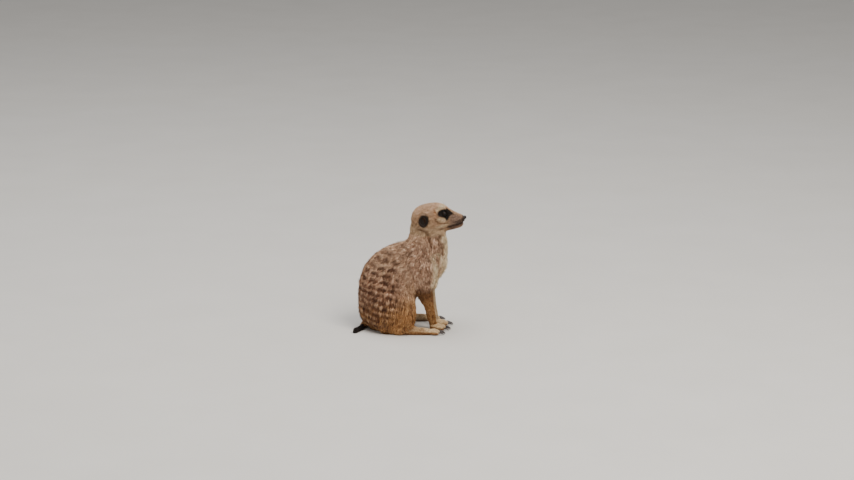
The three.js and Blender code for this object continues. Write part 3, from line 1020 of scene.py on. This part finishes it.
def mark_face(pelt):
    """A pale face with a brown muzzle, dark lips and nose, black round the eyes and black ears; a painted
    highlight on the muzzle's top, and painted shade in the cheek fold and under the mouth and jaw.
    """
    points, x, side, z = pelt.points, pelt.x, pelt.side, pelt.z
    face = pelt.on("head", "jaw", "ear")

    def paint(fur, share):
        pelt.lay(fur, face * share)

    def spot(fur, share, *shape, where=1):
        paint(fur, share * oval(points, *shape) * where)

    paint(FACE, 1.0)
    paint(TAN, 0.9 * step(166, 177, z + 0.25 * (70 - x)))
    paint(CREAM, 0.3 * step(160, 150, z) * (1 - step(92, 100, x)))
    paint(MUZZLE_BROWN, 0.9 * step(97, 106, x) * step(172, 167, z - 0.30 * (110 - x)))
    paint(RUST, 0.35 * step(175, 180, z) * step(94, 104, x) * (side < 8))
    spot(RUST, 0.7, (103.5, 177.4), (2.6, 2.2), -0.4, 0.5, where=step(3, 5, side))  # before the brow
    # Painted highlight: the top of the muzzle behind the nose is lighter where it faces up.
    paint(TAN, 0.6 * step(0.3, 0.8, pelt.normals[:, 2]) * step(100, 106, x) * (1 - step(4, 7.5, side)))
    paint(CREAM, stripe(points, BROW, 2.3) * step(0.5, 2.5, side))
    spot(CREAM, 0.6, (90.5, 163.6), (7.6, 2.9), -0.3, 0.5)  # under the eye
    spot(SIENNA, 0.8, (80.6, 174.8), (1.7, 3.4), 0.1, 0.5)  # behind the brow
    spot(RUST, 0.4, (81.8, 168.8), (1.6, 2.2), 0, 0.5)  # behind the eye
    # Painted shade along the fold of the cheek.
    paint(UMBER, 0.95 * stripe(points, CHEEK_FOLD, 1.2))
    spot(CREAM, 0.65, (91, 155.0), (8.5, 1.8), 0.1, 0.5)  # along the jaw
    # Painted shade under the jaw.
    spot(UMBER, 0.7, (90, 149.8), (4.5, 1.6), 0.1, 0.5)  # under the jaw
    paint(CHIN, 0.6 * step(104, 112, x) * step(156, 153.5, z - 0.12 * (x - 110)))
    paint(LIP, 0.98 * stripe(points, MOUTH, 2.0) * step(97, 99, x))
    spot(LIP, 0.9, (123.6, 161.0), (4.4, 4.4), 0.1, 0.3)  # round the nose
    spot(LIP, 0.25, (117, 157.6), (8, 3.0), 0.35, 0.6)  # over the lip
    # Painted shadow under the mouth line.
    spot(UMBER, 0.45, (108, 150.6), (11, 2.2), 0.25, 0.6)  # under the lip
    paint(LIP, 0.95 * (1 - step(4.9, 6.2, lengths(points - NOSE_AT))))
    for (ahead, _, up), _, _ in WHISKERS[:LIP_WHISKERS]:
        spot(LIP, 0.9, (ahead, up), (1.0, 0.9), 0, 0.5)
    paint(BLACK, 1 - step(6.6, 8.0, lengths(both_sides(points) - EYE_AT)))
    spot(BLACK, 1, (96.4, 172.4), (12.3, 5.7), 0.04, 0.14, where=step(3, 6, side))  # round the eye
    spot(BLACK, 1, (98.0, 166.4), (2.6, 4.8), -0.2, 0.3, where=step(3.5, 6.5, side))  # down from the eye
    spot(BLACK, 0.97, (64.9, 163.0), (6.9, 9.4), -0.1, 0.12, where=step(15, 18, side))  # the ear
    concha = (from_ear(points) < 0.6) * step(-2, 4, (x - EAR_AT[0]) + 0.5 * (z - EAR_AT[2]))
    paint(UMBER, 0.65 * concha)


def mark_throat(pelt):
    """Painted shade in the fold down the neck, and under the chin."""
    # Painted shade in the fold down the neck.
    pelt.lay(UMBER, 0.8 * pelt.on("neck", "trunk", "head") * stripe(pelt.points, NECK_FOLD, 2.3))
    pelt.lay(UMBER, 0.4 * pelt.on("neck", "head") * oval(pelt.points, (84, 138), (6, 4), 0, 0.5))


def markings(points, normals, part):
    """The coat's colours at these points: for each its dark, middle and light tone."""
    pelt = Pelt(points, normals, part)
    for mark in (mark_body, mark_legs, mark_tail, mark_face, mark_throat):
        mark(pelt)
    return pelt.colour


# ---- the coat

GUARD_SHARE = 0.05  # of the tufts: guard hairs, which are thinner and stand higher
GUARD_STAND = 1.5
GUARD_WIDTH = 0.6
LIFTS = (-0.35, 0.85, 1.0)  # of a tuft's root, middle and tip, as a share of the coat's stand
LOCK = 14  # tufts that lean together
PULLS = {1: 0.22, 2: 0.6}  # how far a tuft's middle and its tip lean over to those of its lock
FLOOR_GAP = 0.15


class Surface:
    """The skin as triangles, with what the coat needs to know at any place on it."""

    def __init__(self, mesh, part, sizes, lie):
        mesh.calc_loop_triangles()
        self.corners = read(mesh.loop_triangles, "vertices", 3, int)
        self.loops = read(mesh.loop_triangles, "loops", 3, int)
        self.points, self.normals = places(mesh), normals_of(mesh)
        self.part, self.sizes, self.lie = part, sizes, lie
        a, b, c = (self.points[self.corners[:, k]] for k in range(3))
        self.areas = lengths(np.cross(b - a, c - a)) / 2
        self.tree = BVHTree.FromPolygons(self.points.tolist(), self.corners.tolist())
        self.unwrap = read(mesh.uv_layers["OFBake"].data, "uv", 2)

    def at(self, values, face, weights):
        """Values kept at the vertices, at places given by a triangle and three weights."""
        return (values[self.corners[face]] * weights[:, :, None]).sum(1)

    def walk(self, points, heading, length):
        """Steps along the skin: the nearest places to where a straight step would end."""
        aims = points + heading * length[:, None]
        found = [self.tree.find_nearest(aim) for aim in aims.tolist()]
        corners = self.corners[[hit[2] for hit in found]]
        nearest = np.array([hit[0] for hit in found])
        return nearest, unit(self.normals[corners].mean(1)), unit(self.lie[corners].mean(1))


NOSE_PAD = (3.5, 4.3, 3.3)  # half-sizes of the place round the nose that has no tufts


def bare(points, normals, part):
    """Where the skin has no tufts: under feet and rump, on nose, lips and inner ear, and round the eyes."""
    nose = lengths((points - NOSE_AT) / NOSE_PAD) < 1
    lips = (far_from_line(points, MOUTH) < 0.6) & (points[:, 0] > 98)
    concha = from_ear(points) < 0.66
    sole = among(part, "forepaw", "hind_foot") & (points[:, 2] < 1.6) & (normals[:, 2] < -0.3)
    seat = (points[:, 2] < 0.5) & (normals[:, 2] < -0.6)
    eye = lengths(both_sides(points) - EYE_AT) < EYE_RADIUS + LID_THICKNESS + 0.3
    return nose | lips | concha | sole | seat | eye


def sow(surface):
    """Where the tufts stand: random places, as thickly as each part of the coat needs."""
    spacing = surface.sizes[surface.corners, SPACING].mean(1)
    wanted = surface.areas / spacing**2
    face = np.repeat(np.arange(len(wanted)), np.floor(wanted + chance.random(len(wanted))).astype(int))
    weights = chance.dirichlet((1, 1, 1), len(face))
    roots = surface.at(surface.points, face, weights)
    normals = unit(surface.at(surface.normals, face, weights))
    part = surface.part[surface.corners[face, 0]]
    kept = ~bare(roots, normals, part)
    return face[kept], weights[kept], roots[kept], normals[kept], part[kept]


def grow(surface):
    """Every tuft's line over the skin, its width and its colours."""
    face, weights, roots, normals, part = sow(surface)
    sizes = surface.at(surface.sizes, face, weights)
    lie = unit(surface.at(surface.lie, face, weights))
    count = len(roots)
    long = step(4.5, 8, sizes[:, LENGTH])
    swirl = 0.6 * (hash_noise(roots, 11, 9) - 0.5) * long
    lie = unit(lie + np.cross(normals, lie) * (swirl + chance.normal(0, 0.15, count))[:, None])
    length = sizes[:, LENGTH] * chance.uniform(0.75, 1.2, count)
    stand = sizes[:, STAND] * chance.uniform(0.55, 1.08, count)
    guard = chance.random(count) < GUARD_SHARE
    stand = np.where(guard, GUARD_STAND * stand, stand)
    width = sizes[:, WIDTH] * chance.uniform(0.75, 1.25, count) * np.where(guard, GUARD_WIDTH, 1)

    line, ups, heading = [roots], [normals], lie
    for _ in range(2):
        place, up, next_heading = surface.walk(line[-1], heading, length / 2)
        heading = unit(heading * 0.4 + next_heading * 0.6)
        line.append(place)
        ups.append(up)
    shows = (line[1] + line[2]) / 2 + lie * chance.normal(0, 0.5, count)[:, None]
    line = [at + up * (stand * lift)[:, None] for at, up, lift in zip(line, ups, LIFTS)]

    leaders = chance.choice(count, count // LOCK, replace=False)
    tree = KDTree(len(leaders))
    for index, leader in enumerate(leaders):
        tree.insert(roots[leader] + lie[leader] * length[leader] * 0.3, index)
    tree.balance()
    lock = leaders[[tree.find(at)[1] for at in (roots + lie * (length * 0.3)[:, None]).tolist()]]
    near = bell(lengths(roots - roots[lock]), 0.4 * sizes[:, LENGTH] + 0.4)
    for k, pull in PULLS.items():
        share = (pull * near * chance.uniform(0.6, 1.15, count))[:, None]
        line[k] = line[k] * (1 - share) + line[k][lock] * share
        line[k][:, 2] = np.maximum(line[k][:, 2], FLOOR_GAP)

    shows = shows + (shows[lock] - shows) * (0.5 * long * near)[:, None]
    shade = 0.62 * chance.normal(0, 1, count)[lock] + 0.6 * chance.normal(0, 1, count)
    return {
        "line": line, "ups": ups, "width": width, "part": part,
        "colours": markings(shows, ups[1], part), "shade": shade * (1 + 0.35 * long),
        "strand": chance.uniform(0, 500, count),
        "unwrap": (surface.unwrap[surface.loops[face]] * weights[:, :, None]).sum(1),
    }


def tone(colours, level):
    """A colour between the dark, middle and light tones, for levels from -1 to 1."""
    level = np.clip(level, -1, 1)[:, None]
    dark, middle, light = colours[:, 0], colours[:, 1], colours[:, 2]
    return np.where(level < 0, middle + (middle - dark) * level, middle + (light - middle) * level)


RING_WIDTH = (0.62, 1.0)  # at the root and the middle
TONES = ((-1.0, 0), (0.0, 0.45), (0.55, 0.55))  # at root, middle and tip: the level, and the shade's share
CORNERS = 7  # of a tuft: three at its root, three at its middle and its tip
FACES = np.array([
    (0, 2, 1), (0, 1, 4), (0, 4, 3), (1, 2, 5), (1, 5, 4),
    (2, 0, 3), (2, 3, 5), (3, 4, 6), (4, 5, 6), (5, 3, 6),
])
PATCH = 0.003  # the size of a tuft's place on the unwrapped skin
MOST_TRIANGLES = 190_000  # in one piece of the coat
REGIONS = {  # the coat's pieces: the slot of each, and the parts that it grows on
    "head": ("coat", "head", "jaw"), "ears": ("ear", "ear"), "neck": ("coat", "neck"),
    "trunk": ("coat", "trunk"), "thighs": ("coat", "thigh"), "upper_arms": ("coat", "upper_arm"),
    "forelegs": ("legs", "forearm", "forepaw"), "hind_feet": ("legs", "hind_foot"),
    "tail": ("coat", "tail"), "tail_tip": ("tail_tip", "tail_tip"),
}


def tuft_shapes(coat, chosen):
    """The corners of these tufts, with each one's colour, place on a strand and place on the unwrap."""
    points = np.empty((len(chosen), CORNERS, 3))
    colours = np.empty((len(chosen), CORNERS, 3))
    strand = np.repeat(coat["strand"][chosen, None], CORNERS, axis=1)
    patch = np.empty((CORNERS, 2))
    rings = (slice(0, 3), slice(3, 6), slice(6, 7))
    for row, (level, share) in zip(rings, TONES):
        colours[:, row] = tone(coat["colours"][chosen], level + share * coat["shade"][chosen])[:, None]
    for k, width in enumerate(RING_WIDTH):
        at, up = coat["line"][k][chosen], coat["ups"][k][chosen]
        ahead = unit(coat["line"][k + 1][chosen] - at)
        across = unit(np.cross(up, ahead))
        half = (coat["width"][chosen] * width / 2)[:, None]
        ridge = at + unit(np.cross(ahead, across)) * half * 0.9
        points[:, rings[k]] = np.stack((at - across * half, at + across * half, ridge), 1)
        strand[:, rings[k]] += half * (-1, 1, 0)
        patch[rings[k]] = [(aside, k / 2 - 0.5) for aside in (-0.5, 0.5, 0)]
    points[:, -1] = coat["line"][2][chosen]
    patch[-1] = (0, 0.5)
    return points, colours, strand, coat["unwrap"][chosen][:, None, :] + patch[None] * PATCH


def tuft_piece(name, coat, chosen, slot, material):
    """Tapering three-sided tufts, closed at the root, as one mesh."""
    points, colours, strand, spots = tuft_shapes(coat, chosen)
    corners = (FACES[None] + (np.arange(len(chosen)) * CORNERS)[:, None, None]).reshape(-1)
    mesh = bpy.data.meshes.new(name)
    mesh.vertices.add(len(chosen) * CORNERS)
    mesh.vertices.foreach_set("co", (points * MM).ravel())
    mesh.loops.add(len(corners))
    mesh.loops.foreach_set("vertex_index", corners)
    mesh.polygons.add(len(corners) // 3)
    mesh.polygons.foreach_set("loop_start", np.arange(0, len(corners), 3))
    mesh.update(calc_edges=True)
    tint(mesh, colours.reshape(-1, 3))
    mesh.attributes.new("strand", "FLOAT", "POINT").data.foreach_set("value", strand.ravel())
    mesh.uv_layers.new(name="OFBake").data.foreach_set("uv", spots.reshape(-1, 2)[corners].ravel())
    fit(placed(name, mesh), material, slot)


def make_coat(surface):
    coat = grow(surface)
    material = coat_finish()
    for region, (slot, *parts) in REGIONS.items():
        mine = np.flatnonzero(among(coat["part"], *parts))
        shares = math.ceil(len(mine) * len(FACES) / MOST_TRIANGLES)
        order = mine[np.argsort(coat["line"][0][mine, 1], kind="stable")]
        for number, chosen in enumerate(np.array_split(order, shares)):
            tuft_piece(f"coat_{region}" + f"_{number + 1}" * (shares > 1), coat, chosen, slot, material)


# ---- eyes, nose, claws, whiskers

IRIS_EDGE = math.radians(62)  # from the gaze, where the iris ends
BULGE, BULGE_EDGE = 0.07, 0.55  # how far the clear front stands out, and where it starts, in radians


def make_eye(name, side):
    """A globe with a slightly raised clear front, whose rings are measured from the gaze."""
    centre, gaze, *_ = eye_frame(side)
    shape = globe(EYE_RADIUS)
    iris = shape.verts.layers.float.new("iris")
    for v in shape.verts:
        outward = math.acos(max(-1, min(1, v.co.z / EYE_RADIUS)))
        v[iris] = outward / IRIS_EDGE
        v.co *= 1 + BULGE * math.exp(-((outward / BULGE_EDGE) ** 4))
    turn = Vector((0, 0, 1)).rotation_difference(Vector(gaze)).to_matrix()
    bmesh.ops.rotate(shape, verts=shape.verts, matrix=turn)
    bmesh.ops.translate(shape, verts=shape.verts, vec=Vector(centre))
    bmesh.ops.scale(shape, verts=shape.verts, vec=(MM,) * 3)
    fit(new_piece(f"eyeball_{name}", shape), eye_finish(name), "eye", f"eye_{name}")


def make_nose():
    """The bare pad at the tip of the muzzle, with a nostril on each side and a groove between."""
    shape = globe(1)
    for v in shape.verts:
        x, y, z = v.co.z, v.co.x, v.co.y  # the sphere's poles lie along the muzzle
        lean = 0.45 * z - 0.12 * z * z
        at = Vector((3.3 * x + lean, 4.1 * y * (1 - 0.15 * max(x, 0)), 2.9 * z + 0.3 * (y * y)))
        aside = abs(at.y) - 2.3
        nostril = Vector(((at.x - 2.2) / 1.6, aside / 0.95, (at.z + 0.15 + 0.3 * aside) / 0.75))
        groove = math.exp(-((at.y / 0.32) ** 2)) * (x > 0) * (z < 0.5)
        at -= Vector((x, y, z)) * (1.5 * math.exp(-nostril.length_squared) + 0.4 * groove)
        v.co = (at + Vector(NOSE_AT)) * MM
    bmesh.ops.recalc_face_normals(shape, faces=shape.faces)
    fit(new_piece("nose_pad", shape), nose_finish(), "nose", "nose")


WHISKER_STEPS = 8
WHISKER_ROOTED = 0.06  # how much of a whisker stands in the skin
WHISKER_RADIUS = (0.18, 0.02)  # at the root and the tip
WHISKER_SAG = Vector((-2.2, 0, -2.6)) / 16  # at the tip, for each millimetre of length


def make_whiskers():
    """Thin tapering hairs that bend back and down towards their ends."""
    shape = bmesh.new()
    for at, way, length in WHISKERS:
        for side in SIDES.values():
            rings = []
            for k in range(WHISKER_STEPS + 1):
                share = k / WHISKER_STEPS
                spot = Vector(at) + Vector(way).normalized() * length * (share - WHISKER_ROOTED)
                spot += WHISKER_SAG * share**2 * length
                radius = WHISKER_RADIUS[0] * (1 - share) + WHISKER_RADIUS[1] * share
                corners = [spot + Vector((math.cos(a), 0, math.sin(a))) * radius for a in (0, 2.1, 4.2)]
                rings.append([shape.verts.new(corner * Vector((1, side, 1)) * MM) for corner in corners])
            rings_to_skin(shape, rings)
    bmesh.ops.recalc_face_normals(shape, faces=shape.faces)
    fit(new_piece("whiskers", shape), whisker_finish(), "coat")


def make_claws():
    """Each claw's own solid, rounded."""
    material = claw_finish()
    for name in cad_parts:
        if "_claw_" in name:
            piece = new_piece(name.replace("_claw_", "_nail_"), joined_solid(name))
            rounded(piece, 2)
            fit(piece, material, "claw", name)


# ---- the meerkat

UNDER_DARK = 0.7  # how much of the skin's colour is the coat's dark tone; the rest is its middle one

make_camera()
make_studio()

skin_mesh, skin_part, skin_sizes, skin_lie = make_skin()
skin = placed("skin", skin_mesh)
skin_mesh.uv_layers.new(name="OFBake")
bpy.context.view_layer.objects.active = skin
skin.select_set(True)
bpy.ops.object.mode_set(mode="EDIT")
bpy.ops.mesh.select_all(action="SELECT")
bpy.ops.uv.smart_project(angle_limit=math.radians(66), island_margin=0.004)
bpy.ops.object.mode_set(mode="OBJECT")

surface = Surface(skin_mesh, skin_part, skin_sizes, skin_lie)
shades = markings(surface.points, surface.normals, skin_part)
tint(skin_mesh, UNDER_DARK * shades[:, 0] + (1 - UNDER_DARK) * shades[:, 1])
fit(skin, skin_finish(), "coat", *flesh_solids())

for eye_name, eye_side in SIDES.items():
    make_eye(eye_name, eye_side)
make_nose()
make_claws()
make_whiskers()
make_coat(surface)

boxes = {"solids": solid_box, "scene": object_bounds()}
{name: [list(corner) for corner in box] for name, box in boxes.items()}
